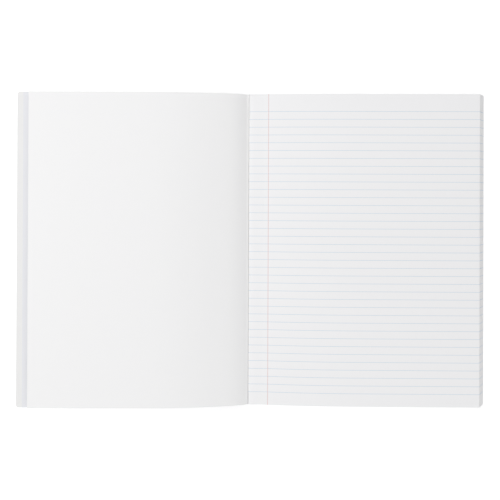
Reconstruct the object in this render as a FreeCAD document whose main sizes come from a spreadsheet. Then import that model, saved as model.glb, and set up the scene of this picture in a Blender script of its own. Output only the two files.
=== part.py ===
import FreeCAD, Part
import math
import os
import Sketcher

# An open composition notebook, turned to its first ruled page.
# X runs from the front cover to the block, Y towards the heads of the pages and Z up.
# The origin lies on the resting surface, in the middle of the open book. All lengths are millimetres.

SIZES = (
    ("page_height", 279.4, "leaf from head to tail"),
    ("page_width", 206.5, "leaf from fold to fore-edge"),
    ("board_thickness", 0.8, "pressed board of each cover"),
    ("endpaper_thickness", 0.15, "lining sheet pasted inside each cover"),
    ("leaf_thickness", 0.15, "loose first leaf"),
    ("tape_thickness", 0.3, "cloth tape over the spine"),
    ("tape_lap", 30.0, "tape pasted on each cover, from its inner edge"),
    ("glue_line", 0.05, "paste between tape and board"),
    ("page_gap", 0.05, "air between the block and the lining under it"),
    ("board_setback", 0.9, "inner edge of a board from the lowest fold"),
    ("spine_gap", 7.4, "between the inner edges of the two boards"),
    ("cover_rise", 4.6, "degrees that the opened front cover stands up"),
    ("cover_lift", 0.4, "inner edge of the front board above the resting surface"),
    ("cover_corner", 2.2, "radius of the corners at the fore-edge of a cover"),
    ("endpaper_inset", 5.2, "lining from the fore-edge of a board"),
    ("endpaper_setback", 3.0, "lining from the inner edge of a board"),
    ("spine_foot", 6.2, "lowest fold behind the foremost one"),
    ("nose_radius", 1.9, "rounded fold of the block"),
    ("nose_height", 3.5, "centre of the rounded fold above the resting surface"),
    ("throat_width", 13.5, "where the page leaves the gutter"),
    ("shoulder_width", 95.0, "where the page becomes nearly level"),
    ("shoulder_thickness", 10.35, "block at the shoulder"),
    ("fore_edge_thickness", 11.75, "block at its fore-edge"),
    ("fore_edge_fan", 7.0, "top leaf behind the lowest one at the fore-edge"),
    ("gatherings", 25, "bundles of leaves that show at the fore-edge"),
    ("notch_depth", 0.5, "gap between two bundles"),
    ("notch_opening", 0.2, "width of that gap outside the edge"),
    ("leaf_inset", 10.25, "first leaf from the fore-edge of the front board"),
    ("leaf_root", 3.0, "root of the first leaf from the inner edge of the board"),
    ("leaf_root_lift", 0.5, "root above the outer face of the board"),
    ("leaf_foot", 0.2, "first bend of the leaf, on the gutter side of the board's edge"),
    ("leaf_foot_bend", 0.9, "radius there"),
    ("leaf_gutter", 0.67, "second bend, where the leaf leaves the fold, on the board"),
    ("leaf_gutter_rise", 2.81, "its height above the lining"),
    ("leaf_gutter_bend", 1.4, "radius there"),
    ("leaf_lip", 10.4, "third bend, on the board"),
    ("leaf_lip_rise", 7.0, "its height above the lining"),
    ("leaf_lip_bend", 66.0, "radius there"),
    ("leaf_crown", 60.8, "fourth bend, on the board"),
    ("leaf_crown_rise", 12.9, "its height above the lining"),
    ("leaf_crown_bend", 300.0, "radius there"),
    ("leaf_edge_rise", 3.0, "edge of the leaf above the lining"),
    ("tape_bend", 20.0, "radius of the tape between the boards"),
    ("stitch_pitch", 9.5, "from one stitch hole to the next"),
    ("stitch_count", 28, "stitch holes along the fold"),
    ("thread_radius", 0.3, "sewing thread along the fold"),
    ("leg_radius", 0.26, "sewing thread drawn tight through a hole"),
    ("thread_seat", 0.16, "middle of the thread inside the fold"),
    ("thread_clearance", 0.12, "thread in its holes"),
    ("groove_clearance", 0.18, "thread in its groove"),
    ("stitch_depth", 2.6, "from the fold to the middle of the sheets"),
)

doc = FreeCAD.newDocument("composition_notebook")
sheet = doc.addObject("Spreadsheet::Sheet", "Sizes")
for row, (alias, number, meaning) in enumerate(SIZES, start=1):
    sheet.set(f"A{row}", meaning)
    sheet.set(f"B{row}", str(number))
    sheet.setAlias(f"B{row}", alias)
doc.recompute()
size = {alias: float(sheet.get(alias)) for alias, number, meaning in SIZES}

# Places that several pieces share, each as a number and as a formula of the sheet
rise = math.radians(size["cover_rise"])
cover_width = size["page_width"] - size["board_setback"]
cover_width_formula = "(Sizes.page_width - Sizes.board_setback)"
back_edge = size["spine_foot"] + size["board_setback"]
back_edge_formula = "(Sizes.spine_foot + Sizes.board_setback)"
front_edge = back_edge - size["spine_gap"]
front_edge_formula = f"({back_edge_formula} - Sizes.spine_gap)"
block_base = size["board_thickness"] + size["endpaper_thickness"] + size["page_gap"]
block_base_formula = "(Sizes.board_thickness + Sizes.endpaper_thickness + Sizes.page_gap)"
lining_face = size["board_thickness"] + size["endpaper_thickness"]
lining_face_formula = "(Sizes.board_thickness + Sizes.endpaper_thickness)"
block_reach = size["spine_foot"] + size["page_width"]
front_reach = front_edge - cover_width * math.cos(rise)
middle = (block_reach + front_reach) / 2


def origin_plane(body, role):
    """The plane of the body's own origin that has this role."""
    return next(plane for plane in body.Origin.OriginFeatures if plane.Role == role)


def new_body(name):
    body = doc.addObject("PartDesign::Body", name)
    body.Label = name
    return body


def new_sketch(body, name, role):
    sketch = body.newObject("Sketcher::SketchObject", name)
    sketch.AttachmentSupport = [(origin_plane(body, role), "")]
    sketch.MapMode = "FlatFace"
    return sketch


def bind(sketch, kind, references, number, name, formula):
    """One measured constraint of a sketch, driven by the sheet."""
    index = sketch.addConstraint(Sketcher.Constraint(kind, *references, number))
    sketch.renameConstraint(index, name)
    sketch.setExpression(f"Constraints.{name}", formula)


def pin(sketch, geometry, vertex, point, name, across, up):
    """Holds a point at formulas measured from the sketch's origin."""
    bind(sketch, "DistanceX", (-1, 1, geometry, vertex), point.x, f"{name}_across", across)
    bind(sketch, "DistanceY", (-1, 1, geometry, vertex), point.y, f"{name}_up", up)


def join(sketch, first, second, kind="Coincident"):
    """The end of one edge meets the start of the next."""
    sketch.addConstraint(Sketcher.Constraint(kind, first, 2, second, 1))


def pad(body, sketch, name, formula, side="One side", backwards=False):
    feature = body.newObject("PartDesign::Pad", name)
    feature.Profile = sketch
    feature.SideType = side
    feature.Reversed = backwards
    feature.setExpression("Length", formula)
    return feature


def pocket(body, sketch, name, formula, side="One side", backwards=False):
    feature = body.newObject("PartDesign::Pocket", name)
    feature.Profile = sketch
    feature.SideType = side
    feature.Reversed = backwards
    feature.setExpression("Length", formula)
    return feature


def repeat(body, feature, name, direction, length, occurrences):
    pattern = body.newObject("PartDesign::LinearPattern", name)
    pattern.Originals = [feature]
    pattern.Direction = direction
    pattern.setExpression("Length", length)
    pattern.setExpression("Occurrences", occurrences)
    body.Tip = pattern
    return pattern


def rectangle(sketch, left, low, right, high, names):
    """A rectangle from its lower left to its upper right corner; names gives the four formulas."""
    corners = [
        FreeCAD.Vector(left, low, 0),
        FreeCAD.Vector(right, low, 0),
        FreeCAD.Vector(right, high, 0),
        FreeCAD.Vector(left, high, 0),
    ]
    for start, end in zip(corners, corners[1:] + corners[:1]):
        sketch.addGeometry(Part.LineSegment(start, end), False)
    for edge in range(4):
        join(sketch, edge, (edge + 1) % 4)
    for edge, kind in enumerate(("Horizontal", "Vertical", "Horizontal", "Vertical")):
        sketch.addConstraint(Sketcher.Constraint(kind, edge))
    pin(sketch, 0, 1, corners[0], "lower_left", names[0], names[1])
    pin(sketch, 2, 1, corners[2], "upper_right", names[2], names[3])


def board(name):
    """A cover: a board with rounded corners at its fore-edge and a bed for the tape on its outer face.

    Its own frame has the outer face at zero height and the inner edge along Y, and it runs to +X.
    """
    body = new_body(name)
    outline = new_sketch(body, f"{name}_outline", "XY_Plane")
    half = size["page_height"] / 2
    rectangle(
        outline, 0, -half, cover_width, half,
        ("0 mm", "-Sizes.page_height / 2", cover_width_formula, "Sizes.page_height / 2"),
    )
    slab = pad(body, outline, f"{name}_slab", "Sizes.board_thickness")
    doc.recompute()
    corners = [
        f"Edge{number}"
        for number, edge in enumerate(slab.Shape.Edges, start=1)
        if abs(edge.BoundBox.ZLength - size["board_thickness"]) < TOUCH and edge.BoundBox.XMin > TOUCH
    ]
    rounding = body.newObject("PartDesign::Fillet", f"{name}_corners")
    rounding.Base = (slab, corners)
    rounding.setExpression("Radius", "Sizes.cover_corner")
    bed = new_sketch(body, f"{name}_tape_bed", "XY_Plane")
    rectangle(
        bed, -TOOL_OVERRUN, -half - TOOL_OVERRUN, size["tape_lap"], half + TOOL_OVERRUN,
        (
            f"-{TOOL_OVERRUN} mm",
            f"-Sizes.page_height / 2 - {TOOL_OVERRUN}",
            "Sizes.tape_lap",
            f"Sizes.page_height / 2 + {TOOL_OVERRUN}",
        ),
    )
    pocket(body, bed, f"{name}_bed", "Sizes.tape_thickness + Sizes.glue_line", backwards=True)
    return body


def lining(name):
    """The sheet pasted on a cover's inner face, in the frame of its board."""
    body = new_body(name)
    outline = new_sketch(body, f"{name}_outline", "XY_Plane")
    half = size["page_height"] / 2
    rectangle(
        outline, size["endpaper_setback"], -half, cover_width - size["endpaper_inset"], half,
        (
            "Sizes.endpaper_setback",
            "-Sizes.page_height / 2",
            f"{cover_width_formula} - Sizes.endpaper_inset",
            "Sizes.page_height / 2",
        ),
    )
    outline.setExpression("AttachmentOffset.Base.z", "Sizes.board_thickness")
    pad(body, outline, f"{name}_sheet", "Sizes.endpaper_thickness")
    return body


def bent_sheet(name, corners, bends, offset_formula):
    """A sheet of even thickness: straight runs joined by tangent arcs, drawn along one of its faces.

    corners holds (point, formula across, formula up) and bends the alias of the radius at each inner
    corner. The formula of the offset gives the thickness, on the left of the path if above zero.
    """
    path = doc.addObject("Sketcher::SketchObject", f"{name}_path")
    path.Placement = FreeCAD.Placement(
        FreeCAD.Vector(), FreeCAD.Rotation(FreeCAD.Vector(1, 0, 0), 90)
    )
    points = [corner[0] for corner in corners]
    starts = list(points)
    ends = list(points)
    arcs = []
    for index, alias in enumerate(bends, start=1):
        before = (points[index - 1] - points[index]).normalize()
        after = (points[index + 1] - points[index]).normalize()
        half_angle = before.getAngle(after) / 2
        reach = size[alias] / math.tan(half_angle)
        ends[index] = points[index] + before * reach
        starts[index] = points[index] + after * reach
        centre = points[index] + (before + after).normalize() * (size[alias] / math.sin(half_angle))
        turns_left = before.cross(after).z < 0
        first, last = (ends[index], starts[index]) if turns_left else (starts[index], ends[index])
        from_first = math.atan2(first.y - centre.y, first.x - centre.x)
        to_last = math.atan2(last.y - centre.y, last.x - centre.x)
        circle = Part.Circle(centre, FreeCAD.Vector(0, 0, 1), size[alias])
        arcs.append((Part.ArcOfCircle(circle, from_first, to_last), turns_left))
    lines = [
        path.addGeometry(Part.LineSegment(start, end), False)
        for start, end in zip(starts[:-1], ends[1:])
    ]
    pin(path, lines[0], 1, points[0], "first_end", corners[0][1], corners[0][2])
    for index, (arc, turns_left) in enumerate(arcs, start=1):
        bend = path.addGeometry(arc, False)
        first, last = (1, 2) if turns_left else (2, 1)
        path.addConstraint(Sketcher.Constraint("Tangent", lines[index - 1], 2, bend, first))
        path.addConstraint(Sketcher.Constraint("Tangent", lines[index], 1, bend, last))
        alias = bends[index - 1]
        bind(path, "Radius", (bend,), size[alias], f"bend_{index}", f"Sizes.{alias}")
        mark = path.addGeometry(Part.Point(points[index]), True)
        path.addConstraint(Sketcher.Constraint("PointOnObject", mark, 1, lines[index - 1]))
        path.addConstraint(Sketcher.Constraint("PointOnObject", mark, 1, lines[index]))
        pin(path, mark, 1, points[index], f"corner_{index}", corners[index][1], corners[index][2])
    pin(path, lines[-1], 2, points[-1], "last_end", corners[-1][1], corners[-1][2])
    profile = doc.addObject("Part::Offset2D", f"{name}_profile")
    profile.Source = path
    profile.Mode = "Skin"
    profile.Fill = True
    profile.setExpression("Value", offset_formula)
    web = doc.addObject("Part::Extrusion", name)
    web.Label = name
    web.Base = profile
    web.DirMode = "Custom"
    web.Dir = FreeCAD.Vector(0, 1, 0)
    web.Solid = True
    web.Symmetric = True
    web.setExpression("LengthFwd", "Sizes.page_height")
    return web


# Margins of the cuts, which leave no mark on the book
TOUCH = 1e-4
TOOL_OVERRUN = 1.0

# Page block: one solid, rounded where its leaves are folded and fanned at its fore-edge
block = new_body("page_block")
section = new_sketch(block, "block_section", "XZ_Plane")
fold_low = FreeCAD.Vector(size["spine_foot"], block_base, 0)
edge_low = FreeCAD.Vector(block_reach, block_base, 0)
edge_high = FreeCAD.Vector(
    block_reach - size["fore_edge_fan"], block_base + size["fore_edge_thickness"], 0
)
shoulder = FreeCAD.Vector(size["shoulder_width"], block_base + size["shoulder_thickness"], 0)
nose = FreeCAD.Vector(size["nose_radius"], size["nose_height"], 0)
# A level page at the shoulder bends down to the throat and meets the rounded fold
slope_shoulder = math.atan2(edge_high.y - shoulder.y, edge_high.x - shoulder.x)
slope_throat = 2 * math.atan2(
    shoulder.y - nose.y - size["nose_radius"], shoulder.x - size["throat_width"]
) - slope_shoulder
throat_run = shoulder.x - size["throat_width"]
shoulder_radius = throat_run / (math.sin(slope_throat) - math.sin(slope_shoulder))
shoulder_centre = shoulder + FreeCAD.Vector(
    shoulder_radius * math.sin(slope_shoulder), -shoulder_radius * math.cos(slope_shoulder), 0
)
throat = shoulder_centre + FreeCAD.Vector(
    -shoulder_radius * math.sin(slope_throat), shoulder_radius * math.cos(slope_throat), 0
)
nose_top = nose + FreeCAD.Vector(
    -size["nose_radius"] * math.sin(slope_throat), size["nose_radius"] * math.cos(slope_throat), 0
)
to_foot = fold_low - nose
lean = math.atan2(to_foot.y, to_foot.x) - math.acos(size["nose_radius"] / to_foot.Length)
nose_low = nose + FreeCAD.Vector(
    size["nose_radius"] * math.cos(lean), size["nose_radius"] * math.sin(lean), 0
)
section.addGeometry(Part.LineSegment(fold_low, edge_low), False)
section.addGeometry(Part.LineSegment(edge_low, edge_high), False)
section.addGeometry(Part.LineSegment(edge_high, shoulder), False)
section.addGeometry(
    Part.ArcOfCircle(
        Part.Circle(shoulder_centre, FreeCAD.Vector(0, 0, 1), shoulder_radius),
        math.pi / 2 + slope_shoulder,
        math.pi / 2 + slope_throat,
    ),
    False,
)
section.addGeometry(Part.LineSegment(throat, nose_top), False)
section.addGeometry(
    Part.ArcOfCircle(
        Part.Circle(nose, FreeCAD.Vector(0, 0, 1), size["nose_radius"]),
        math.pi / 2 + slope_throat,
        lean + 2 * math.pi,
    ),
    False,
)
section.addGeometry(Part.LineSegment(nose_low, fold_low), False)
join(section, 0, 1)
join(section, 1, 2)
join(section, 6, 0)
for first, second in ((2, 3), (3, 4), (4, 5), (5, 6)):
    join(section, first, second, "Tangent")
reach_formula = "(Sizes.spine_foot + Sizes.page_width)"
pin(section, 0, 1, fold_low, "fold", "Sizes.spine_foot", block_base_formula)
pin(section, 1, 1, edge_low, "lowest_leaf", reach_formula, block_base_formula)
pin(
    section, 2, 1, edge_high, "top_leaf",
    f"{reach_formula} - Sizes.fore_edge_fan",
    f"{block_base_formula} + Sizes.fore_edge_thickness",
)
pin(
    section, 3, 1, shoulder, "shoulder", "Sizes.shoulder_width",
    f"{block_base_formula} + Sizes.shoulder_thickness",
)
bind(section, "DistanceX", (-1, 1, 4, 1), throat.x, "throat", "Sizes.throat_width")
pin(section, 5, 3, nose, "nose", "Sizes.nose_radius", "Sizes.nose_height")
bind(section, "Radius", (5,), size["nose_radius"], "nose_round", "Sizes.nose_radius")
pad(block, section, "block_leaves", "Sizes.page_height", side="Symmetric")
doc.recompute()

# Gaps between the bundles of leaves, repeated up the fanned fore-edge
fan = edge_high - edge_low
step = fan / size["gatherings"]
notch_at = edge_low + step
notch = new_sketch(block, "notch_section", "XZ_Plane")
notch_points = (
    (notch_at + FreeCAD.Vector(-size["notch_depth"], 0, 0), "(-Sizes.notch_depth)", "0"),
    (
        notch_at + FreeCAD.Vector(TOOL_OVERRUN, -size["notch_opening"] / 2, 0),
        f"{TOOL_OVERRUN}", "(-Sizes.notch_opening / 2)",
    ),
    (
        notch_at + FreeCAD.Vector(TOOL_OVERRUN, size["notch_opening"] / 2, 0),
        f"{TOOL_OVERRUN}", "Sizes.notch_opening / 2",
    ),
)
for index in range(3):
    start = notch_points[index][0]
    end = notch_points[(index + 1) % 3][0]
    notch.addGeometry(Part.LineSegment(start, end), False)
fan_line = notch.addGeometry(Part.LineSegment(edge_low, edge_high), True)
for index in range(3):
    join(notch, index, (index + 1) % 3)
    point, across, up = notch_points[index]
    pin(
        notch, index, 1, point, f"notch_{index}",
        f"{reach_formula} - Sizes.fore_edge_fan / Sizes.gatherings + {across}",
        f"{block_base_formula} + Sizes.fore_edge_thickness / Sizes.gatherings + {up}",
    )
pin(notch, fan_line, 1, edge_low, "fan_low", reach_formula, block_base_formula)
pin(
    notch, fan_line, 2, edge_high, "fan_high",
    f"{reach_formula} - Sizes.fore_edge_fan",
    f"{block_base_formula} + Sizes.fore_edge_thickness",
)
notch_cut = pocket(block, notch, "notch_cut", f"Sizes.page_height + {TOOL_OVERRUN}", side="Symmetric")
doc.recompute()
repeat(
    block, notch_cut, "notches", (notch, ["Axis0"]),
    "sqrt(Sizes.fore_edge_fan ^ 2 + Sizes.fore_edge_thickness ^ 2)"
    " * (Sizes.gatherings - 2) / Sizes.gatherings",
    "Sizes.gatherings - 1",
)
doc.recompute()

# Bed of the sewing: a groove along the rounded fold and a row of holes into it
first_hole = -size["stitch_pitch"] * (size["stitch_count"] - 1) / 2
first_hole_formula = "-Sizes.stitch_pitch * (Sizes.stitch_count - 1) / 2"
row_length = "Sizes.stitch_pitch * (Sizes.stitch_count - 1)"


def thread_round(body, name, role, across, radius, formulas):
    """A circle for the thread or its bed: formulas gives its place and its radius."""
    sketch = new_sketch(body, name, role)
    centre = FreeCAD.Vector(across, size["nose_height"], 0)
    sketch.addGeometry(Part.Circle(centre, FreeCAD.Vector(0, 0, 1), radius), False)
    pin(sketch, 0, 3, centre, "centre", formulas[0], "Sizes.nose_height")
    bind(sketch, "Radius", (0,), radius, "round", formulas[1])
    return sketch


groove_radius = size["thread_radius"] + size["groove_clearance"]
groove_formula = "(Sizes.thread_radius + Sizes.groove_clearance)"
groove = thread_round(
    block, "groove_section", "XZ_Plane", size["thread_seat"], groove_radius,
    ("Sizes.thread_seat", groove_formula),
)
pocket(block, groove, "thread_groove", f"{row_length} + 2 * {groove_formula}", side="Symmetric")
doc.recompute()
hole = thread_round(
    block, "hole_section", "YZ_Plane", first_hole,
    size["leg_radius"] + size["thread_clearance"],
    (first_hole_formula, "Sizes.leg_radius + Sizes.thread_clearance"),
)
hole_cut = pocket(
    block, hole, "stitch_hole", "Sizes.stitch_depth + Sizes.thread_clearance", backwards=True
)
doc.recompute()
repeat(block, hole_cut, "stitch_holes", (hole, ["H_Axis"]), row_length, "Sizes.stitch_count")
doc.recompute()

# Sewing thread: one run along the fold, with a leg through each hole
thread = new_body("sewing_thread")
thread_run = thread_round(
    thread, "thread_section", "XZ_Plane", size["thread_seat"], size["thread_radius"],
    ("Sizes.thread_seat", "Sizes.thread_radius"),
)
pad(
    thread, thread_run, "thread_run", f"{row_length} + 2 * Sizes.thread_radius", side="Symmetric"
)
doc.recompute()
leg = thread_round(
    thread, "leg_section", "YZ_Plane", first_hole, size["leg_radius"],
    (first_hole_formula, "Sizes.leg_radius"),
)
leg.setExpression("AttachmentOffset.Base.z", "Sizes.thread_seat")
leg_pad = pad(thread, leg, "stitch_leg", "Sizes.stitch_depth - Sizes.thread_seat")
doc.recompute()
repeat(thread, leg_pad, "stitch_legs", (leg, ["H_Axis"]), row_length, "Sizes.stitch_count")
doc.recompute()

# Covers and their linings: the back pair lies flat, and the front pair is thrown open and stands up
back_cover = board("back_cover")
back_endpaper = lining("back_endpaper")
front_cover = board("front_cover")
front_endpaper = lining("front_endpaper")
doc.recompute()

# First leaf, in the frame of the front board: it climbs out of the gutter and arches over the cover
first_leaf = bent_sheet(
    "first_leaf",
    (
        (
            FreeCAD.Vector(-size["leaf_root"], size["leaf_root_lift"], 0),
            "-Sizes.leaf_root",
            "Sizes.leaf_root_lift",
        ),
        (
            FreeCAD.Vector(-size["leaf_foot"], size["leaf_root_lift"], 0),
            "-Sizes.leaf_foot",
            "Sizes.leaf_root_lift",
        ),
        (
            FreeCAD.Vector(size["leaf_gutter"], lining_face + size["leaf_gutter_rise"], 0),
            "Sizes.leaf_gutter",
            f"{lining_face_formula} + Sizes.leaf_gutter_rise",
        ),
        (
            FreeCAD.Vector(size["leaf_lip"], lining_face + size["leaf_lip_rise"], 0),
            "Sizes.leaf_lip",
            f"{lining_face_formula} + Sizes.leaf_lip_rise",
        ),
        (
            FreeCAD.Vector(size["leaf_crown"], lining_face + size["leaf_crown_rise"], 0),
            "Sizes.leaf_crown",
            f"{lining_face_formula} + Sizes.leaf_crown_rise",
        ),
        (
            FreeCAD.Vector(cover_width - size["leaf_inset"], lining_face + size["leaf_edge_rise"], 0),
            f"{cover_width_formula} - Sizes.leaf_inset",
            f"{lining_face_formula} + Sizes.leaf_edge_rise",
        ),
    ),
    ("leaf_foot_bend", "leaf_gutter_bend", "leaf_lip_bend", "leaf_crown_bend"),
    "Sizes.leaf_thickness",
)

# Spine tape: cloth from the bed of the back board, across the fold, to the bed of the front board
along_board = FreeCAD.Vector(-math.cos(rise), math.sin(rise), 0)
tape_end = FreeCAD.Vector(front_edge, size["cover_lift"], 0) + along_board * size["tape_lap"]
spine_tape = bent_sheet(
    "spine_tape",
    (
        (
            FreeCAD.Vector(back_edge + size["tape_lap"] - size["glue_line"], 0, 0),
            f"{back_edge_formula} + Sizes.tape_lap - Sizes.glue_line",
            "0",
        ),
        (
            FreeCAD.Vector(front_edge + size["cover_lift"] / math.tan(rise), 0, 0),
            f"{front_edge_formula} + Sizes.cover_lift / tan(Sizes.cover_rise)",
            "0",
        ),
        (
            tape_end + FreeCAD.Vector(size["glue_line"], 0, 0),
            f"{front_edge_formula} - Sizes.tape_lap * cos(Sizes.cover_rise) + Sizes.glue_line",
            "Sizes.cover_lift + Sizes.tape_lap * sin(Sizes.cover_rise)",
        ),
    ),
    ("tape_bend",),
    "-Sizes.tape_thickness",
)

# Each piece takes its place in the open book
UP = FreeCAD.Vector(0, 0, 1)
HEADWARDS = FreeCAD.Vector(0, 1, 0)
thrown_open = FreeCAD.Rotation(HEADWARDS, size["cover_rise"]) * FreeCAD.Rotation(UP, 180)
front_place = FreeCAD.Placement(
    FreeCAD.Vector(front_edge - middle, 0, size["cover_lift"]), thrown_open
)
back_place = FreeCAD.Placement(FreeCAD.Vector(back_edge - middle, 0, 0), FreeCAD.Rotation())
spine_place = FreeCAD.Placement(FreeCAD.Vector(-middle, 0, 0), FreeCAD.Rotation())
places = (
    (block, spine_place),
    (thread, spine_place),
    (spine_tape, spine_place),
    (back_cover, back_place),
    (back_endpaper, back_place),
    (front_cover, front_place),
    (front_endpaper, front_place),
    (first_leaf, front_place),
)
for body, place in places:
    body.Placement = place
doc.recompute()

for item in doc.Objects:
    if "Invalid" in item.State or "Error" in item.State:
        raise RuntimeError(f"{item.Name} failed: {item.State}")
os.makedirs("parts", exist_ok=True)
for body, place in places:
    if body.Shape.isNull() or not body.Shape.isValid() or len(body.Shape.Solids) != 1:
        raise RuntimeError(f"{body.Label} is not one valid solid")
    body.Shape.exportStep(f"parts/{body.Label}.step")
    box = body.Shape.BoundBox
    print(
        f"{body.Label}: {body.Shape.Volume:.1f} mm3, {len(body.Shape.Faces)} faces,"
        f" X {box.XMin:.2f} to {box.XMax:.2f}, Z {box.ZMin:.2f} to {box.ZMax:.2f}"
    )
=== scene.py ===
import math
import random

import bmesh
import bpy
from mathutils import Matrix, Vector
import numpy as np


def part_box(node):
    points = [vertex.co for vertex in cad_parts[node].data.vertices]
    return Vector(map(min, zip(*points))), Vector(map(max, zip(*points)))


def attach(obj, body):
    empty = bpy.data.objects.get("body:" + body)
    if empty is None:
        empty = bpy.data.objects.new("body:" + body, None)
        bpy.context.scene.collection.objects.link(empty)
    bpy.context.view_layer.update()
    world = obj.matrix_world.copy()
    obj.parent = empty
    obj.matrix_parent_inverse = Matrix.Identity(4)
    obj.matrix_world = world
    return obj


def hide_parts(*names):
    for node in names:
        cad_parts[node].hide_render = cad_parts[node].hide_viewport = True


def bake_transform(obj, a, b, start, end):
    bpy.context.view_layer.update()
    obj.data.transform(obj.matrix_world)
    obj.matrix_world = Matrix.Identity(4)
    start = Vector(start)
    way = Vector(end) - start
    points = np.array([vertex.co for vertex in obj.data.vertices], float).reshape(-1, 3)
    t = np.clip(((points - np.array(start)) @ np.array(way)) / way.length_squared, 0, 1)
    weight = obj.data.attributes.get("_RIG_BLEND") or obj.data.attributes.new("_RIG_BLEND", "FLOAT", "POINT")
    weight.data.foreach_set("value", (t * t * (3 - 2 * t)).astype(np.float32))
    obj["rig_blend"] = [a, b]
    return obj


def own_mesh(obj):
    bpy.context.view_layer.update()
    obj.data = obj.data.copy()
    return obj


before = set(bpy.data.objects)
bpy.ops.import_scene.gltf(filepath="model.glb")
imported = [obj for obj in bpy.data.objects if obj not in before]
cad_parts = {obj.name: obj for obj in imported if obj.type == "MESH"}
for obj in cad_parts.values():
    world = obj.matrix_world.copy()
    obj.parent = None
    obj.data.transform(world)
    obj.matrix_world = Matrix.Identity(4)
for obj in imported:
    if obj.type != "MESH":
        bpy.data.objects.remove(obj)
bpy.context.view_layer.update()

bl_info = {
    "name": "Open composition notebook",
    "version": (1, 0, 0),
    "blender": (4, 5, 0),
    "location": "View3D > Sidebar > Notebook",
    "description": "Leaves, covers, linings and spine tape of a notebook lying open",
    "category": "Add Mesh",
}

MM = 0.001
ALONG = "along"
PAGE_MAP = "page"

# Angles: an edge that shades crisp, one that is worn round, and a face that counts as flat
CREASE = math.radians(40)
SHARP = math.radians(60)
LEVEL = math.radians(1)

# Sockets of a colour mix
MIX_FIRST = 6
MIX_SECOND = 7
MIX_RESULT = 2


def millimetres(node):
    """Lowest and highest corner of a node at rest."""
    return [Vector(corner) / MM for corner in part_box(node)]


BLOCK_LOW, BLOCK_HIGH = millimetres("page_block")
BOARD_LOW, BOARD_HIGH = millimetres("back_cover")
LINING_FACE = millimetres("back_endpaper")[1].z

# Section of the notebook, in millimetres across and up, with the foremost fold at zero
FRONT_EDGE = -0.3
BACK_EDGE = 7.1
MIDDLE = BACK_EDGE - BOARD_LOW.x
HALF_HEIGHT = BOARD_HIGH.y
COVER_WIDTH = BOARD_HIGH.x - BOARD_LOW.x
BOARD_THICKNESS = BOARD_HIGH.z
COVER_RISE = math.radians(4.6)
COVER_LIFT = 0.4
COVER_CORNER = 2.2
CORNER_SEGMENTS = 8
RIM_SEGMENTS = 3
FOLD_FOOT = Vector((6.2, BLOCK_LOW.z))
NOSE_CENTRE = Vector((1.9, 3.5))
NOSE_RADIUS = 1.9
THROAT = 13.5
SHOULDER = Vector((95.0, BLOCK_LOW.z + 10.35))
FAN = 7.0
ARC_STEPS = 24
PAGE_STEPS = 60
LOW_EDGE = Vector((BLOCK_HIGH.x + MIDDLE, BLOCK_LOW.z))
TOP_EDGE = Vector((LOW_EDGE.x - FAN, BLOCK_HIGH.z))
TAPE_LAP = 30.0
TAPE_BED = 0.35
TAPE_THICKNESS = 0.3
TAPE_BEND = 20.0
TAPE_FOOT = 0.05
TAPE_MIDDLE = MIDDLE - 0.33
TAPE_STIFF = TAPE_LAP - 4.0
TAPE_STIFF_COLUMNS = 12
TAPE_FREE_COLUMNS = 76

# Path of the opened leaf in the frame of the front board, from its root to its free edge
LEAF_PATH = (
    Vector((-3.0, 0.5)),
    Vector((-0.42, 0.5)),
    Vector((0.45, LINING_FACE + 2.81)),
    Vector((10.4, LINING_FACE + 7.0)),
    Vector((60.8, LINING_FACE + 12.9)),
    Vector((195.35, LINING_FACE + 3.0)),
)
LEAF_BENDS = (0.9, 1.2, 66.0, 300.0)
LEAF_GAP = 0.02
LEAF_COLUMNS = 150
LEAF_CROWDING = 1.8
LEAF_CUTS = 31

# Droop of the opened leaf's free corners, and how deep it sinks beside the fold
DROOP = 0.175
DROOP_FROM = 40.0
DROOP_REACH = 160.0
DROOP_WAVE = 52.0
SINK_AT_TAIL = 0.2
SINK_MORE_AT_HEAD = 1.8
SINK_POWER = 1.5
SINK_FROM = 3.6
SINK_FULL = 6.5
SINK_FADE = 9.0

# Columns of a sheet in the block, and how much higher the block swells beside the fold
BLOCK_COLUMNS = 44
BLOCK_CROWDING = 2.0
HEART_REACH = 8.0
SWELL_AT_HEAD = 2.4
SWELL_FROM = 2.0
SWELL_REACH = 14.0

# Paper: grain and clouds per metre, share of the grain in its tint, and the print's least ink
PAPER_GRAIN = 1600.0
PAPER_CLOUD = 90.0
PAPER_RELIEF = 0.02 * MM
PAPER_ROUGHNESS = 0.82
PAPER_GLOSS = 0.22
GRAIN_SHARE = 0.35
LEAST_INK = 0.5

# Tape and thread
# Painted shade: share of the tape's colour left in the hollows of its weave
TAPE_SHADE = 0.45
TAPE_ROUGHNESS = 0.7
TAPE_SHEEN = 0.15
TAPE_RELIEF = 0.08 * MM
THREAD_SLANT = (0.0, 0.6, 0.5)
THREAD_STRANDS = 420.0
# Painted shade: colour of the thread in the grooves between its strands
THREAD_SHADE = (0.62, 0.6, 0.55, 1.0)
THREAD_COLOUR = (0.86, 0.85, 0.82, 1.0)
THREAD_ROUGHNESS = 0.5
THREAD_RELIEF = 0.06 * MM

# Floor, sky and view
FLOOR_HALF_SIDE = 2.5
FLOOR_DROP = 0.02 * MM
FLOOR_COLOUR = (0.93, 0.93, 0.93, 1.0)
FLOOR_ROUGHNESS = 0.9
WHITE = (1.0, 1.0, 1.0, 1.0)
SKY_COLOUR = (0.98, 0.99, 1.0, 1.0)
VIEW_PLACE = Vector((-2.75, 50.0)) * MM
VIEW_TILT = math.radians(0.28)
VIEW_ROLL = math.radians(0.22)
VIEW_ANGLE = math.radians(36.74)
VIEW_SHIFT = -0.1198
VIEW_NEAR = 0.01

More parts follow.
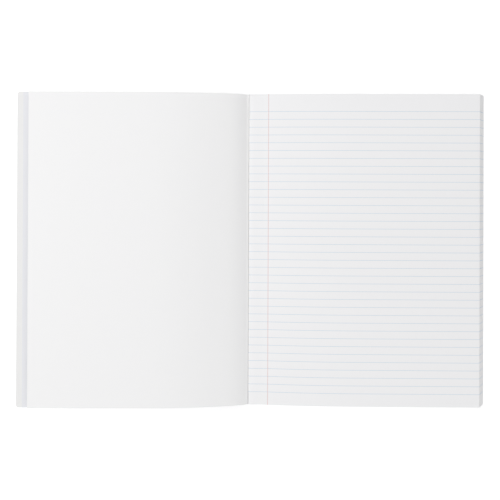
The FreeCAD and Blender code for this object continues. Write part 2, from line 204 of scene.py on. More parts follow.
# Lamps: place and side in metres, and share of the power
LAMPS = (
    ("overhead", (0.0, 0.0, 2.0), 1.2, 0.618),
    ("beyond_head", (0.0, 0.9, 0.8), 0.5, 0.175),
    ("beyond_tail", (0.0, -0.9, 0.8), 0.5, 0.07),
    ("left", (-0.65, 0.1, 0.5), 0.5, 0.068),
    ("right_tail", (0.6, -0.5, 0.5), 0.5, 0.04),
    ("left_tail", (-0.5, -0.6, 0.5), 0.5, 0.029),
)


# ---- Curves of the section ----


def arc(centre, radius, first, last, count):
    """Points on an arc from one angle to another."""
    angles = (first + (last - first) * step / count for step in range(count + 1))
    return [centre + radius * Vector((math.cos(a), math.sin(a))) for a in angles]


def bent_line(corners, radii):
    """A polyline whose inner corners are rounded."""
    points = [corners[0]]
    for before, corner, after, radius in zip(corners, corners[1:], corners[2:], radii):
        back = (before - corner).normalized()
        ahead = (after - corner).normalized()
        half_angle = back.angle(ahead) / 2
        reach = radius / math.tan(half_angle)
        centre = corner + (back + ahead).normalized() * radius / math.sin(half_angle)
        start = corner + back * reach - centre
        end = corner + ahead * reach - centre
        first = math.atan2(start.y, start.x)
        turn = math.remainder(math.atan2(end.y, end.x) - first, math.tau)
        points.extend(arc(centre, radius, first, first + turn, ARC_STEPS))
    points.append(corners[-1])
    return points


def distances(points):
    """How far along the curve each of its points lies."""
    run = [0.0]
    for before, after in zip(points, points[1:]):
        run.append(run[-1] + (after - before).length)
    return run


def resample(points, stops):
    """Points at given shares of the curve's length."""
    run = distances(points)
    found = []
    index = 0
    for stop in stops:
        goal = stop * run[-1]
        while index < len(run) - 2 and run[index + 1] < goal:
            index += 1
        span = run[index + 1] - run[index]
        share = (goal - run[index]) / span if span else 0.0
        found.append(points[index].lerp(points[index + 1], share))
    return found


def fold_stops(count, power):
    """Shares of a leaf's length, close together near the fold."""
    return [(step / count) ** power for step in range(count + 1)]


def offset_curve(points, amount):
    """The curve moved to its left by an amount."""
    moved = []
    for index, point in enumerate(points):
        before = points[max(index - 1, 0)]
        after = points[min(index + 1, len(points) - 1)]
        along = (after - before).normalized()
        moved.append(point + Vector((-along.y, along.x)) * amount)
    return moved


def block_outline():
    """Upper and lower outline of the leaves, both from the tip of the fold to the fore-edge."""
    level = math.atan2(TOP_EDGE.y - SHOULDER.y, TOP_EDGE.x - SHOULDER.x)
    rise = SHOULDER.y - NOSE_CENTRE.y - NOSE_RADIUS
    steep = 2 * math.atan2(rise, SHOULDER.x - THROAT) - level
    radius = (SHOULDER.x - THROAT) / (math.sin(steep) - math.sin(level))
    centre = SHOULDER + radius * Vector((math.sin(level), -math.cos(level)))
    quarter = math.pi / 2
    upper = arc(NOSE_CENTRE, NOSE_RADIUS, math.pi, quarter + steep, ARC_STEPS)
    upper += arc(centre, radius, quarter + steep, quarter + level, PAGE_STEPS)
    upper.append(TOP_EDGE)
    to_foot = FOLD_FOOT - NOSE_CENTRE
    lean = math.atan2(to_foot.y, to_foot.x) - math.acos(NOSE_RADIUS / to_foot.length)
    lower = arc(NOSE_CENTRE, NOSE_RADIUS, -math.pi, lean, ARC_STEPS)
    lower += [FOLD_FOOT, LOW_EDGE]
    return upper, lower


# ---- Meshes ----


def to_world(point, y):
    """A point of the section, at a height on the page, in the frame's metres."""
    return Vector(((point.x - MIDDLE) * MM, y * MM, point.y * MM))


def headwards(y):
    """Nothing at the tail of the page and one at its head."""
    return (y + HALF_HEIGHT) / (2 * HALF_HEIGHT)


def front_matrix():
    """From a board's own frame to the opened front cover."""
    place = Matrix.Translation(Vector(((FRONT_EDGE - MIDDLE) * MM, 0, COVER_LIFT * MM)))
    return place @ Matrix.Rotation(COVER_RISE, 4, "Y") @ Matrix.Rotation(math.pi, 4, "Z")


def back_matrix():
    """From a board's own frame to the back cover."""
    return Matrix.Translation(Vector(((BACK_EDGE - MIDDLE) * MM, 0, 0)))


def new_vertices(result):
    return [item for item in result["geom"] if isinstance(item, bmesh.types.BMVert)]


def draw_sheet(bm, lower, upper, run, low, high, place):
    """A closed sheet: its section between two curves, drawn out along the height of the page.

    Each vertex keeps how far along the sheet it lies, in metres.
    """
    along = bm.verts.layers.float.get(ALONG) or bm.verts.layers.float.new(ALONG)
    last = len(run) - 1
    section = bmesh.ops.create_grid(bm, x_segments=last, y_segments=1, size=1.0)["verts"]
    for vert in section:
        column = round((vert.co.x + 1.0) * last / 2.0)
        curve = upper if vert.co.y > 0.0 else lower
        vert.co = place(curve[column], low)
        vert[along] = run[column] * MM
    strip = list(dict.fromkeys(face for vert in section for face in vert.link_faces))
    drawn = bmesh.ops.extrude_face_region(bm, geom=strip)
    bmesh.ops.translate(bm, verts=new_vertices(drawn), vec=(0.0, (high - low) * MM, 0.0))


def map_sheets(bm):
    """Maps metres along and up the sheets, and gives their cut edges the second material."""
    along = bm.verts.layers.float[ALONG]
    page = bm.loops.layers.uv.new(PAGE_MAP)
    bm.normal_update()
    for face in bm.faces:
        places = [vert[along] for vert in face.verts]
        is_cut = abs(face.normal.y) > 0.5 or max(places) - min(places) < 0.001 * MM
        face.material_index = int(is_cut)
        face.smooth = not is_cut
        for loop in face.loops:
            loop[page].uv = (loop.vert[along], loop.vert.co.y)


def finish_mesh(bm, name, materials):
    """Turns the mesh data into an object with outward faces and crisp cut edges."""
    bmesh.ops.recalc_face_normals(bm, faces=bm.faces)
    for edge in bm.edges:
        edge.smooth = len(edge.link_faces) == 2 and edge.calc_face_angle(0.0) < CREASE
    mesh = bpy.data.meshes.new(name)
    bm.to_mesh(mesh)
    bm.free()
    for material in materials:
        mesh.materials.append(material)
    piece = bpy.data.objects.new(name, mesh)
    bpy.context.scene.collection.objects.link(piece)
    return piece


def draw_board(bm, rounding, place):
    """A pressed board with a bed for the tape outside, rounded corners and softened edges.

    Its cut edges take the second material.
    """
    profile = (
        (0.0, TAPE_BED),
        (TAPE_LAP, TAPE_BED),
        (TAPE_LAP, 0.0),
        (COVER_WIDTH, 0.0),
        (COVER_WIDTH, BOARD_THICKNESS),
        (0.0, BOARD_THICKNESS),
    )
    ring = [bm.verts.new((x * MM, -HALF_HEIGHT * MM, z * MM)) for x, z in profile]
    drawn = bmesh.ops.extrude_face_region(bm, geom=[bm.faces.new(ring)])
    bmesh.ops.translate(bm, verts=new_vertices(drawn), vec=(0.0, 2 * HALF_HEIGHT * MM, 0.0))
    bmesh.ops.recalc_face_normals(bm, faces=bm.faces)
    outer = (COVER_WIDTH - COVER_CORNER) * MM
    corners = [
        edge for edge in bm.edges
        if min(vert.co.x for vert in edge.verts) > outer
        and abs(edge.verts[0].co.y - edge.verts[1].co.y) < MM
    ]
    bmesh.ops.bevel(
        bm, geom=corners, offset=COVER_CORNER * MM, segments=CORNER_SEGMENTS, profile=0.5,
        material=-1, affect="EDGES",
    )
    rims = [
        edge for edge in bm.edges
        if edge.is_convex and edge.calc_face_angle(0.0) > SHARP
    ]
    bmesh.ops.bevel(
        bm, geom=rims, offset=rounding, segments=RIM_SEGMENTS, profile=0.5, material=-1,
        affect="EDGES", clamp_overlap=True,
    )
    bm.normal_update()
    for face in bm.faces:
        square = max(abs(part) for part in face.normal)
        face.material_index = int(abs(face.normal.z) < math.cos(CREASE))
        face.smooth = square < math.cos(LEVEL)
    bmesh.ops.transform(bm, matrix=place, verts=bm.verts)


# ---- Materials ----


def new_material(name):
    material = bpy.data.materials.new(name)
    material.use_nodes = True
    shader = material.node_tree.nodes["Principled BSDF"]
    return material, material.node_tree, shader


def add(tree, kind, sockets=None, **settings):
    """A node with its properties and, by their names, its unlinked inputs."""
    node = tree.nodes.new(kind)
    for key, value in settings.items():
        setattr(node, key, value)
    for socket, constant in (sockets or {}).items():
        node.inputs[socket].default_value = constant
    return node


def maths(tree, operation, *operands):
    """A maths node; each operand is a socket or a number."""
    node = add(tree, "ShaderNodeMath", operation=operation)
    for socket, operand in zip(node.inputs, operands):
        if isinstance(operand, (int, float)):
            socket.default_value = operand
        else:
            tree.links.new(operand, socket)
    return node.outputs[0]


def blend_colour(tree, share, first, second):
    """A mix of two colours, each a socket or a constant."""
    node = add(tree, "ShaderNodeMix", data_type="RGBA")
    tree.links.new(share, node.inputs["Factor"])
    for index, colour in ((MIX_FIRST, first), (MIX_SECOND, second)):
        socket = node.inputs[index]
        if isinstance(colour, bpy.types.NodeSocket):
            tree.links.new(colour, socket)
        else:
            socket.default_value = tuple(colour)
    return node.outputs[MIX_RESULT]


def new_group(name, inputs, outputs):
    """An empty shader group with named sockets."""
    group = bpy.data.node_groups.new(name, "ShaderNodeTree")
    for label, kind, default in inputs:
        socket = group.interface.new_socket(label, in_out="INPUT", socket_type=kind)
        if default is not None:
            socket.default_value = default
    for label in outputs:
        group.interface.new_socket(label, in_out="OUTPUT", socket_type="NodeSocketFloat")
    return group, group.nodes.new("NodeGroupInput"), group.nodes.new("NodeGroupOutput")


def fibre_group():
    """Fibres and cloudy formation of a sheet: a share for its tint and a height for its grain."""
    name = "paper_fibre"
    if name in bpy.data.node_groups:
        return bpy.data.node_groups[name]
    group, source, target = new_group(
        name,
        (
            ("Vector", "NodeSocketVector", None),
            ("Grain", "NodeSocketFloat", PAPER_GRAIN),
            ("Cloud", "NodeSocketFloat", PAPER_CLOUD),
        ),
        ("Tint", "Height"),
    )
    grain = add(group, "ShaderNodeTexNoise", sockets={"Detail": 4.0, "Roughness": 0.62})
    cloud = add(group, "ShaderNodeTexNoise", sockets={"Detail": 3.0, "Roughness": 0.55})
    for noise, scale in ((grain, "Grain"), (cloud, "Cloud")):
        group.links.new(source.outputs["Vector"], noise.inputs["Vector"])
        group.links.new(source.outputs[scale], noise.inputs["Scale"])
    fine = maths(group, "MULTIPLY", grain.outputs["Fac"], GRAIN_SHARE)
    tint = maths(group, "MULTIPLY_ADD", cloud.outputs["Fac"], 1 - GRAIN_SHARE, fine)
    group.links.new(tint, target.inputs["Tint"])
    group.links.new(grain.outputs["Fac"], target.inputs["Height"])
    return group


def ruling_group():
    """Rules and a margin line on a page's own map, in metres from the fold and from mid height."""
    name = "page_ruling"
    if name in bpy.data.node_groups:
        return bpy.data.node_groups[name]
    group, source, target = new_group(
        name,
        (
            ("Page", "NodeSocketVector", None),
            ("Pitch", "NodeSocketFloat", 0.007),
            ("First Rule", "NodeSocketFloat", 0.12395),
            ("Rules", "NodeSocketFloat", 37.0),
            ("Rule Width", "NodeSocketFloat", 0.0003),
            ("Margin", "NodeSocketFloat", 0.0186),
            ("Margin Width", "NodeSocketFloat", 0.00055),
        ),
        ("Rule", "Margin Line"),
    )
    split = add(group, "ShaderNodeSeparateXYZ")
    group.links.new(source.outputs["Page"], split.inputs[0])
    below = maths(group, "SUBTRACT", source.outputs["First Rule"], split.outputs["Y"])
    lines = maths(group, "DIVIDE", below, source.outputs["Pitch"])
    nearest = maths(group, "ROUND", lines)
    apart = maths(group, "ABSOLUTE", maths(group, "SUBTRACT", lines, nearest))
    apart = maths(group, "MULTIPLY", apart, source.outputs["Pitch"])
    half_rule = maths(group, "MULTIPLY", source.outputs["Rule Width"], 0.5)
    on_rule = maths(group, "LESS_THAN", apart, half_rule)
    started = maths(group, "GREATER_THAN", nearest, -0.5)
    last = maths(group, "SUBTRACT", source.outputs["Rules"], 0.5)
    not_past = maths(group, "LESS_THAN", nearest, last)
    rule = maths(group, "MULTIPLY", maths(group, "MULTIPLY", on_rule, started), not_past)
    group.links.new(rule, target.inputs["Rule"])
    from_margin = maths(group, "SUBTRACT", split.outputs["X"], source.outputs["Margin"])
    half_margin = maths(group, "MULTIPLY", source.outputs["Margin Width"], 0.5)
    margin = maths(group, "LESS_THAN", maths(group, "ABSOLUTE", from_margin), half_margin)
    group.links.new(margin, target.inputs["Margin Line"])
    return group


def weave_group():
    """Plain weave on a cloth's own map: a height for its threads."""
    name = "cloth_weave"
    if name in bpy.data.node_groups:
        return bpy.data.node_groups[name]
    group, source, target = new_group(
        name,
        (("Cloth", "NodeSocketVector", None), ("Pitch", "NodeSocketFloat", 0.00055)),
        ("Height",),
    )
    split = add(group, "ShaderNodeSeparateXYZ")
    group.links.new(source.outputs["Cloth"], split.inputs[0])
    crowns = []
    cells = []
    for axis in ("X", "Y"):
        across = maths(group, "DIVIDE", split.outputs[axis], source.outputs["Pitch"])
        cells.append(maths(group, "FLOOR", across))
        wave = maths(group, "SINE", maths(group, "MULTIPLY", across, math.pi))
        crowns.append(maths(group, "POWER", maths(group, "ABSOLUTE", wave), 0.6))
    both = maths(group, "ADD", cells[0], cells[1])
    over = maths(group, "ABSOLUTE", maths(group, "MODULO", both, 2.0))
    under = maths(group, "SUBTRACT", 1.0, over)
    warp = maths(group, "MULTIPLY", crowns[0], over)
    height = maths(group, "MULTIPLY_ADD", crowns[1], under, warp)
    group.links.new(height, target.inputs["Height"])
    return group


def use_group(tree, group, vector, **values):
    """A group node on a vector, with its values set by the names of its sockets."""
    node = add(tree, "ShaderNodeGroup", node_tree=group)
    tree.links.new(vector, node.inputs[0])
    for label, value in values.items():
        node.inputs[label.replace("_", " ")].default_value = value
    return node


def grain_normal(tree, shader, height, distance):
    """Raises the surface by a height mask."""
    bump = add(tree, "ShaderNodeBump", sockets={"Strength": 1.0, "Distance": distance})
    tree.links.new(height, bump.inputs["Height"])
    tree.links.new(bump.outputs["Normal"], shader.inputs["Normal"])


def paper_base(
    tree, shader, colour, mottle, grain=PAPER_GRAIN, cloud=PAPER_CLOUD, relief=PAPER_RELIEF
):
    """Uncoated paper: cloudy tint and fibre grain. Returns the tinted colour."""
    place = add(tree, "ShaderNodeTexCoord")
    fibre = use_group(tree, fibre_group(), place.outputs["Object"], Grain=grain, Cloud=cloud)
    shade = [channel * (1 - mottle) for channel in colour[:3]] + [1.0]
    tinted = blend_colour(tree, fibre.outputs["Tint"], shade, colour)
    shader.inputs["Roughness"].default_value = PAPER_ROUGHNESS
    shader.inputs["Specular IOR Level"].default_value = PAPER_GLOSS
    grain_normal(tree, shader, fibre.outputs["Height"], relief)
    return tinted


def plain_paper(name, colour, mottle=0.012, **grain):
    """Blank paper or pressed board."""
    material, tree, shader = new_material(name)
    tinted = paper_base(tree, shader, colour, mottle, **grain)
    tree.links.new(tinted, shader.inputs["Base Color"])
    return material


def ruled_paper(name, ruling, colour, bleed=1.0, margin_ink=1.0, mottle=0.012):
    """Paper with printed rules; bleed widens them, as ink does on a cut edge."""
    material, tree, shader = new_material(name)
    tinted = paper_base(tree, shader, colour, mottle)
    page = add(tree, "ShaderNodeUVMap", uv_map=PAGE_MAP)
    lines = use_group(
        tree, ruling_group(), page.outputs["UV"],
        Pitch=ruling.pitch, First_Rule=HALF_HEIGHT * MM - ruling.header,
        Rules=float(ruling.rules), Rule_Width=ruling.rule_width * bleed,
        Margin=ruling.margin, Margin_Width=ruling.margin_width * bleed,
    )
    wear = add(tree, "ShaderNodeTexNoise", sockets={"Scale": 900.0, "Detail": 2.0})
    tree.links.new(page.outputs["UV"], wear.inputs["Vector"])
    ink = maths(tree, "MULTIPLY_ADD", wear.outputs["Fac"], 1 - LEAST_INK, LEAST_INK)
    rule = maths(tree, "MULTIPLY", lines.outputs["Rule"], ink)
    margin = maths(tree, "MULTIPLY", lines.outputs["Margin Line"], ink)
    margin = maths(tree, "MULTIPLY", margin, margin_ink)
    ruled = blend_colour(tree, rule, tinted, ruling.rule_colour)
    edged = blend_colour(tree, margin, ruled, ruling.margin_colour)
    tree.links.new(edged, shader.inputs["Base Color"])
    return material


def tape_cloth(cover):
    """Plain woven book cloth, with painted shade in the hollows between its threads."""
    material, tree, shader = new_material("tape_cloth")
    page = add(tree, "ShaderNodeUVMap", uv_map=PAGE_MAP)
    weave = use_group(tree, weave_group(), page.outputs["UV"], Pitch=cover.weave_pitch)
    # Painted shade: the weave's low parts take the tape's colour darkened by TAPE_SHADE
    hollow_shade = [channel * TAPE_SHADE for channel in cover.tape_colour[:3]] + [1.0]
    colour = blend_colour(tree, weave.outputs["Height"], hollow_shade, cover.tape_colour)
    tree.links.new(colour, shader.inputs["Base Color"])
    shader.inputs["Roughness"].default_value = TAPE_ROUGHNESS
    shader.inputs["Sheen Weight"].default_value = TAPE_SHEEN
    grain_normal(tree, shader, weave.outputs["Height"], TAPE_RELIEF)
    return material


def twisted_thread():
    """Waxed thread: slanting strands, with painted shade in the grooves between them."""
    material, tree, shader = new_material("sewing_thread")
    place = add(tree, "ShaderNodeTexCoord")
    slant = add(tree, "ShaderNodeMapping", sockets={"Rotation": THREAD_SLANT})
    tree.links.new(place.outputs["Object"], slant.inputs["Vector"])
    strands = add(
        tree, "ShaderNodeTexWave", bands_direction="Y",
        sockets={"Scale": THREAD_STRANDS, "Distortion": 0.4, "Detail": 2.0},
    )
    tree.links.new(slant.outputs["Vector"], strands.inputs["Vector"])
    # Painted shade: the grooves between strands take THREAD_SHADE
    colour = blend_colour(tree, strands.outputs["Fac"], THREAD_SHADE, THREAD_COLOUR)
    tree.links.new(colour, shader.inputs["Base Color"])
    shader.inputs["Roughness"].default_value = THREAD_ROUGHNESS
    grain_normal(tree, shader, strands.outputs["Fac"], THREAD_RELIEF)
    return material


def dress_node(node, material):
    """Gives a solid of the frame its finish."""
    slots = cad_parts[node].data.materials
    slots.clear()
    slots.append(material)


# ---- Settings ----


def length(name, description, default):
    return bpy.props.FloatProperty(
        name=name, description=description, default=default, min=0.0, unit="LENGTH", precision=5
    )


def colour(name, description, default):
    return bpy.props.FloatVectorProperty(
        name=name, description=description, default=default, size=4, min=0.0, max=1.0,
        subtype="COLOR",
    )


class NotebookPaper(bpy.types.PropertyGroup):
    """Sheets and their paper."""

    sheets: bpy.props.IntProperty(
        name="Sheets", description="Folded sheets in the block", default=50, min=4, max=80
    )
    fill: bpy.props.FloatProperty(
        name="Fill", description="Share of the stack's height that is paper",
        default=0.84, min=0.2, max=0.98, subtype="FACTOR",
    )
    scatter: length("Scatter", "Unevenness of the trimmed edges", 0.16 * MM)
    leaf: length("Leaf", "Thickness of the opened leaf", 0.1 * MM)
    page_colour: colour("Page", "Ruled paper", (0.828, 0.825, 0.831, 1.0))
    leaf_colour: colour("First leaf", "Blank paper", (0.825, 0.821, 0.822, 1.0))
    cut_colour: colour("Cut edge", "Trimmed edges of the leaves", (0.765, 0.765, 0.765, 1.0))
    # Lining: its own bluish tone, with painted shade of the opened leaf that hovers over the front lining
    lining_tone_and_shade: colour("Lining", "Lining sheets", (0.735, 0.737, 0.762, 1.0))


class NotebookRuling(bpy.types.PropertyGroup):
    """Print of the ruled pages."""

    rules: bpy.props.IntProperty(name="Rules", description="Ruled lines", default=37, min=1)
    pitch: length("Pitch", "From one rule to the next", 7.0 * MM)
    header: length("Header", "From the head to the first rule", 15.75 * MM)
    rule_width: length("Rule width", "Width of a rule", 0.3 * MM)
    margin: length("Margin", "From the fold to the margin line", 18.6 * MM)
    margin_width: length("Margin width", "Width of the margin line", 0.55 * MM)
    rule_colour: colour("Rules", "Ink of the rules", (0.42, 0.54, 0.67, 1.0))
    margin_colour: colour("Margin", "Ink of the margin line", (0.68, 0.48, 0.47, 1.0))


class NotebookCover(bpy.types.PropertyGroup):
    """Boards and spine tape."""

    rounding: length("Edge rounding", "Wear along the edges of a board", 0.1 * MM)
    board_colour: colour("Board", "Face of a board", (0.775, 0.771, 0.766, 1.0))
    core_colour: colour("Core", "Cut edge of a board", (0.72, 0.71, 0.68, 1.0))
    tape_colour: colour("Tape", "Spine tape", (0.06, 0.06, 0.065, 1.0))
    weave_pitch: length("Weave", "From one thread to the next", 0.55 * MM)


class NotebookStage(bpy.types.PropertyGroup):
    """Light and view."""

    power: bpy.props.FloatProperty(
        name="Lamps", description="Power of all the lamps together", default=23.5, min=0.0
    )
    sky: bpy.props.FloatProperty(
        name="Sky", description="Strength of the even light", default=0.243, min=0.0
    )
    glow: bpy.props.FloatProperty(
        name="Glow", description="Own light of the floor", default=0.2, min=0.0
    )
    view_height: length("View height", "Camera above the floor", 683.6 * MM)


# ---- Operators ----


class NOTEBOOK_OT_leaves(bpy.types.Operator):
    """Sews the ruled leaves: folded sheets nested in one another and fanned at the fore-edge"""

    bl_idname = "notebook.leaves"
    bl_label = "Ruled leaves"
    bl_options = {"REGISTER", "UNDO"}

    def execute(self, context):
        paper = context.scene.notebook_paper
        ruling = context.scene.notebook_ruling
        chance = random.Random(4)
        scatter = paper.scatter / MM
        upper, lower = block_outline()
        stops = fold_stops(BLOCK_COLUMNS, BLOCK_CROWDING)
        above = resample(upper, stops)
        under = resample(lower, stops)
        reach = distances(above)[-1]
        heart = []
        for high, low, stop in zip(above, under, stops):
            inset = NOSE_RADIUS * max(0.0, 1.0 - stop * reach / HEART_REACH) ** 2
            heart.append((high + low) / 2 + Vector((inset, 0)))
        bm = bmesh.new()
        for sheet in range(paper.sheets):
            trims = [chance.uniform(0.0, scatter) if sheet else 0.0 for side in range(4)]
            curves = []
            for share in (1 - (sheet + paper.fill) / paper.sheets, 1 - sheet / paper.sheets):
                halves = []
                for half, trim in zip((above, under), trims):
                    line = [inner.lerp(outer, share) for inner, outer in zip(heart, half)]
                    halves.append(resample(line, [stop * (1 - trim / reach) for stop in stops]))
                curves.append(halves[0][::-1] + halves[1][1:])
            run = distances(curves[1])
            fold = run[len(stops) - 1]
            from_fold = [abs(place - fold) for place in run]
            tail = -HALF_HEIGHT + trims[2] / 2
            head = HALF_HEIGHT - trims[3] / 2
            draw_sheet(bm, curves[0], curves[1], from_fold, tail, head, to_world)
        for vert in bm.verts:
            vert.co.z += self.swell(vert.co) * MM
        map_sheets(bm)
        faces = ruled_paper("ruled_paper", ruling, paper.page_colour)
        cut = ruled_paper(
            "cut_edges", ruling, paper.cut_colour, bleed=1.6, margin_ink=0.3, mottle=0.05
        )
        piece = finish_mesh(bm, "leaves", (faces, cut))
        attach(piece, "pages")
        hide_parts("page_block")
        return {"FINISHED"}

    def swell(self, place):
        """How much higher the leaves rise beside the fold, most at the head."""
        reach = max(0.0, place.x / MM + MIDDLE - SWELL_FROM) / SWELL_REACH
        stack = (place.z / MM - BLOCK_LOW.z) / (SHOULDER.y - BLOCK_LOW.z)
        most = SWELL_AT_HEAD * headwards(place.y / MM)
        return most * max(0.0, stack) * reach * math.exp(1.0 - reach)


class NOTEBOOK_OT_opened_leaf(bpy.types.Operator):
    """Lays the blank first leaf over the front cover, arched out of the fold"""

    bl_idname = "notebook.opened_leaf"
    bl_label = "Opened leaf"
    bl_options = {"REGISTER", "UNDO"}

    def execute(self, context):
        paper = context.scene.notebook_paper
        stops = fold_stops(LEAF_COLUMNS, LEAF_CROWDING)
        path = resample(bent_line(LEAF_PATH, LEAF_BENDS), stops)
        lower = offset_curve(path, LEAF_GAP)
        upper = offset_curve(path, LEAF_GAP + paper.leaf / MM)
        place = front_matrix()

        def lay(point, y):
            return place @ Vector((point.x * MM, -y * MM, point.y * MM))

        bm = bmesh.new()
        draw_sheet(bm, lower, upper, distances(path), -HALF_HEIGHT, HALF_HEIGHT, lay)
        long_edges = [edge for edge in bm.edges if edge.calc_length() > HALF_HEIGHT * MM]
        bmesh.ops.subdivide_edges(bm, edges=long_edges, cuts=LEAF_CUTS, use_grid_fill=True)
        along = bm.verts.layers.float[ALONG]
        upwards = place.to_3x3() @ Vector((0, 0, 1))
        for vert in bm.verts:
            vert.co += upwards * self.ease(vert[along] / MM, vert.co.y / MM) * MM
        map_sheets(bm)
        face = plain_paper("plain_paper", paper.leaf_colour)
        cut = plain_paper("leaf_edge", paper.leaf_colour)
        piece = finish_mesh(bm, "opened_leaf", (face, cut))
        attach(piece, "front")
        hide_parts("first_leaf")
        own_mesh(piece)
        return {"FINISHED"}

    def ease(self, along, y):
        """How far the paper lies off its even arch: it droops at the free corners and sinks
        beside the fold, most at the head.
        """
        free = max(0.0, (along - DROOP_FROM) / DROOP_REACH)
        droop = DROOP * free * (1.0 - math.cos(y / DROOP_WAVE))
        past_fold = min(1.0, max(0.0, (along - SINK_FROM) / (SINK_FULL - SINK_FROM)))
        sunk = past_fold * math.exp(-max(0.0, along - SINK_FULL) / SINK_FADE)
        deepest = SINK_AT_TAIL + SINK_MORE_AT_HEAD * headwards(y) ** SINK_POWER
        return -droop - deepest * sunk


class NOTEBOOK_OT_covers(bpy.types.Operator):
    """Presses the two boards and pastes their lining sheets"""

    bl_idname = "notebook.covers"
    bl_label = "Covers and linings"
    bl_options = {"REGISTER", "UNDO"}

    def execute(self, context):
        paper = context.scene.notebook_paper
        cover = context.scene.notebook_cover
        face = plain_paper(
            "cover_board", cover.board_colour, mottle=0.03, grain=900.0, cloud=160.0,
            relief=0.03 * MM,
        )
        core = plain_paper("board_core", cover.core_colour, mottle=0.15, grain=2600.0)
        for side, place in (("front", front_matrix()), ("back", back_matrix())):
            bm = bmesh.new()
            draw_board(bm, cover.rounding, place)
            piece = finish_mesh(bm, f"{side}_board", (face, core))
            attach(piece, side)
            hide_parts(f"{side}_cover")
        # The lining's darker, bluer colour is partly its own tone and partly painted shade under the opened
        # leaf
        lining = plain_paper("lining_paper", paper.lining_tone_and_shade, mottle=0.02)
        dress_node("front_endpaper", lining)
        dress_node("back_endpaper", lining)
        return {"FINISHED"}


class NOTEBOOK_OT_spine_tape(bpy.types.Operator):
    """Pastes the cloth tape under the fold, from one board to the other"""

    bl_idname = "notebook.spine_tape"
    bl_label = "Spine tape"
    bl_options = {"REGISTER", "UNDO"}

    def execute(self, context):
        cloth = tape_cloth(context.scene.notebook_cover)
        lap = TAPE_LAP - TAPE_FOOT
        corners = (
            Vector((BACK_EDGE + lap, 0.0)),
            Vector((FRONT_EDGE + COVER_LIFT / math.tan(COVER_RISE), 0.0)),
            Vector((
                FRONT_EDGE - lap * math.cos(COVER_RISE),
                COVER_LIFT + TAPE_LAP * math.sin(COVER_RISE),
            )),
        )
        path = bent_line(corners, (TAPE_BEND,))
        pasted = TAPE_STIFF / distances(path)[-1]
        pasted_stops = [
            pasted * step / TAPE_STIFF_COLUMNS for step in range(TAPE_STIFF_COLUMNS + 1)
        ]
        free = 1 - 2 * pasted
        stops = pasted_stops[:-1]
        stops += [pasted + free * step / TAPE_FREE_COLUMNS for step in range(TAPE_FREE_COLUMNS)]
        stops += [1 - stop for stop in reversed(pasted_stops)]
        outer = resample(path, stops)
        inner = offset_curve(outer, -TAPE_THICKNESS)
        run = distances(outer)
        middle = min(range(len(outer)), key=lambda i: abs(outer[i].x - TAPE_MIDDLE))
        for body, first, last, board_edge in (
            ("back", 0, middle, BACK_EDGE),
            ("front", middle, len(outer) - 1, FRONT_EDGE),
        ):
            part = slice(first, last + 1)
            bm = bmesh.new()
            draw_sheet(
                bm, outer[part], inner[part], run[part], -HALF_HEIGHT, HALF_HEIGHT, to_world
            )
            map_sheets(bm)
            piece = finish_mesh(bm, f"{body}_tape", (cloth, cloth))
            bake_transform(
                piece, "pages", body,
                start=to_world(Vector((TAPE_MIDDLE, 0.0)), 0.0),
                end=to_world(Vector((board_edge, 0.0)), 0.0),
            )
            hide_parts("spine_tape")
        return {"FINISHED"}


class NOTEBOOK_OT_thread(bpy.types.Operator):
    """Waxes the sewing thread that runs along the fold"""

    bl_idname = "notebook.thread"
    bl_label = "Sewing thread"
    bl_options = {"REGISTER", "UNDO"}

    def execute(self, context):
        dress_node("sewing_thread", twisted_thread())
        return {"FINISHED"}


def area_light(name, place, size, power):
    """A soft square light turned to the middle of the book, and not seen itself."""
    lamp = bpy.data.lights.new(name, "AREA")
    lamp.shape = "SQUARE"
    lamp.size = size
    lamp.energy = power
    light = bpy.data.objects.new(name, lamp)
    light.location = place
    light.rotation_euler = (-Vector(place)).to_track_quat("-Z", "Y").to_euler()
    light.visible_camera = False
    bpy.context.scene.collection.objects.link(light)


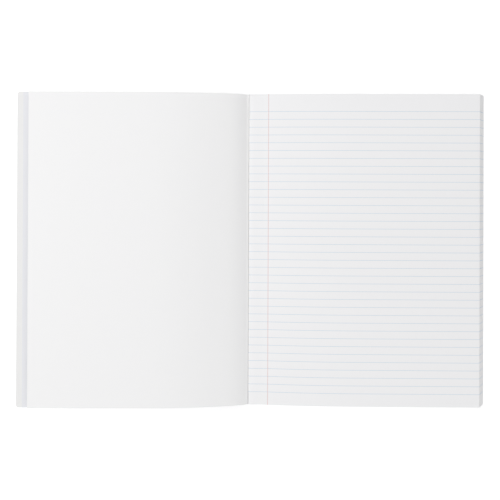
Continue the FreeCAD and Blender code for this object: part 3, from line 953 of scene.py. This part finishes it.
class NOTEBOOK_OT_stage(bpy.types.Operator):
    """Sets the pale floor, the soft lamps round the book and the view from above"""

    bl_idname = "notebook.stage"
    bl_label = "Stage"
    bl_options = {"REGISTER", "UNDO"}

    def execute(self, context):
        stage = context.scene.notebook_stage
        bm = bmesh.new()
        bmesh.ops.create_grid(bm, x_segments=1, y_segments=1, size=FLOOR_HALF_SIDE)
        bmesh.ops.translate(bm, verts=bm.verts, vec=(0.0, 0.0, -FLOOR_DROP))
        material, tree, shader = new_material("floor")
        shader.inputs["Base Color"].default_value = FLOOR_COLOUR
        shader.inputs["Roughness"].default_value = FLOOR_ROUGHNESS
        shader.inputs["Emission Color"].default_value = WHITE
        shader.inputs["Emission Strength"].default_value = stage.glow
        floor = finish_mesh(bm, "floor", (material,))
        for name, place, size, share in LAMPS:
            area_light(name, place, size, share * stage.power)
        world = bpy.data.worlds.new("studio")
        world.use_nodes = True
        background = world.node_tree.nodes["Background"]
        background.inputs["Color"].default_value = SKY_COLOUR
        background.inputs["Strength"].default_value = stage.sky
        context.scene.world = world
        lens = bpy.data.cameras.new("view")
        lens.sensor_fit = "HORIZONTAL"
        lens.angle = VIEW_ANGLE
        lens.clip_start = VIEW_NEAR
        lens.shift_y = VIEW_SHIFT
        camera = bpy.data.objects.new("view", lens)
        camera.location = (*VIEW_PLACE, stage.view_height)
        camera.rotation_euler = (VIEW_TILT, 0.0, VIEW_ROLL)
        context.scene.collection.objects.link(camera)
        context.scene.camera = camera
        context.scene.view_settings.view_transform = "Standard"
        context.scene.view_settings.look = "None"
        return {"FINISHED"}


class NOTEBOOK_PT_parts(bpy.types.Panel):
    """The notebook's pieces and their settings"""

    bl_idname = "NOTEBOOK_PT_parts"
    bl_label = "Composition notebook"
    bl_space_type = "VIEW_3D"
    bl_region_type = "UI"
    bl_category = "Notebook"

    def draw(self, context):
        layout = self.layout
        for operator in OPERATORS:
            layout.operator(operator.bl_idname)
        for group in SETTINGS:
            box = layout.box()
            settings = getattr(context.scene, group)
            for name in settings.bl_rna.properties.keys():
                if name not in ("rna_type", "name"):
                    box.prop(settings, name)


SETTINGS = {
    "notebook_paper": NotebookPaper,
    "notebook_ruling": NotebookRuling,
    "notebook_cover": NotebookCover,
    "notebook_stage": NotebookStage,
}
OPERATORS = (
    NOTEBOOK_OT_leaves,
    NOTEBOOK_OT_opened_leaf,
    NOTEBOOK_OT_covers,
    NOTEBOOK_OT_spine_tape,
    NOTEBOOK_OT_thread,
    NOTEBOOK_OT_stage,
)


def register():
    for name, group in SETTINGS.items():
        bpy.utils.register_class(group)
        setattr(bpy.types.Scene, name, bpy.props.PointerProperty(type=group))
    for operator in OPERATORS:
        bpy.utils.register_class(operator)
    bpy.utils.register_class(NOTEBOOK_PT_parts)


def unregister():
    bpy.utils.unregister_class(NOTEBOOK_PT_parts)
    for operator in reversed(OPERATORS):
        bpy.utils.unregister_class(operator)
    for name, group in SETTINGS.items():
        delattr(bpy.types.Scene, name)
        bpy.utils.unregister_class(group)


def main():
    register()
    bpy.ops.notebook.leaves()
    bpy.ops.notebook.opened_leaf()
    bpy.ops.notebook.covers()
    bpy.ops.notebook.spine_tape()
    bpy.ops.notebook.thread()
    bpy.ops.notebook.stage()


if __name__ == "__main__":
    main()
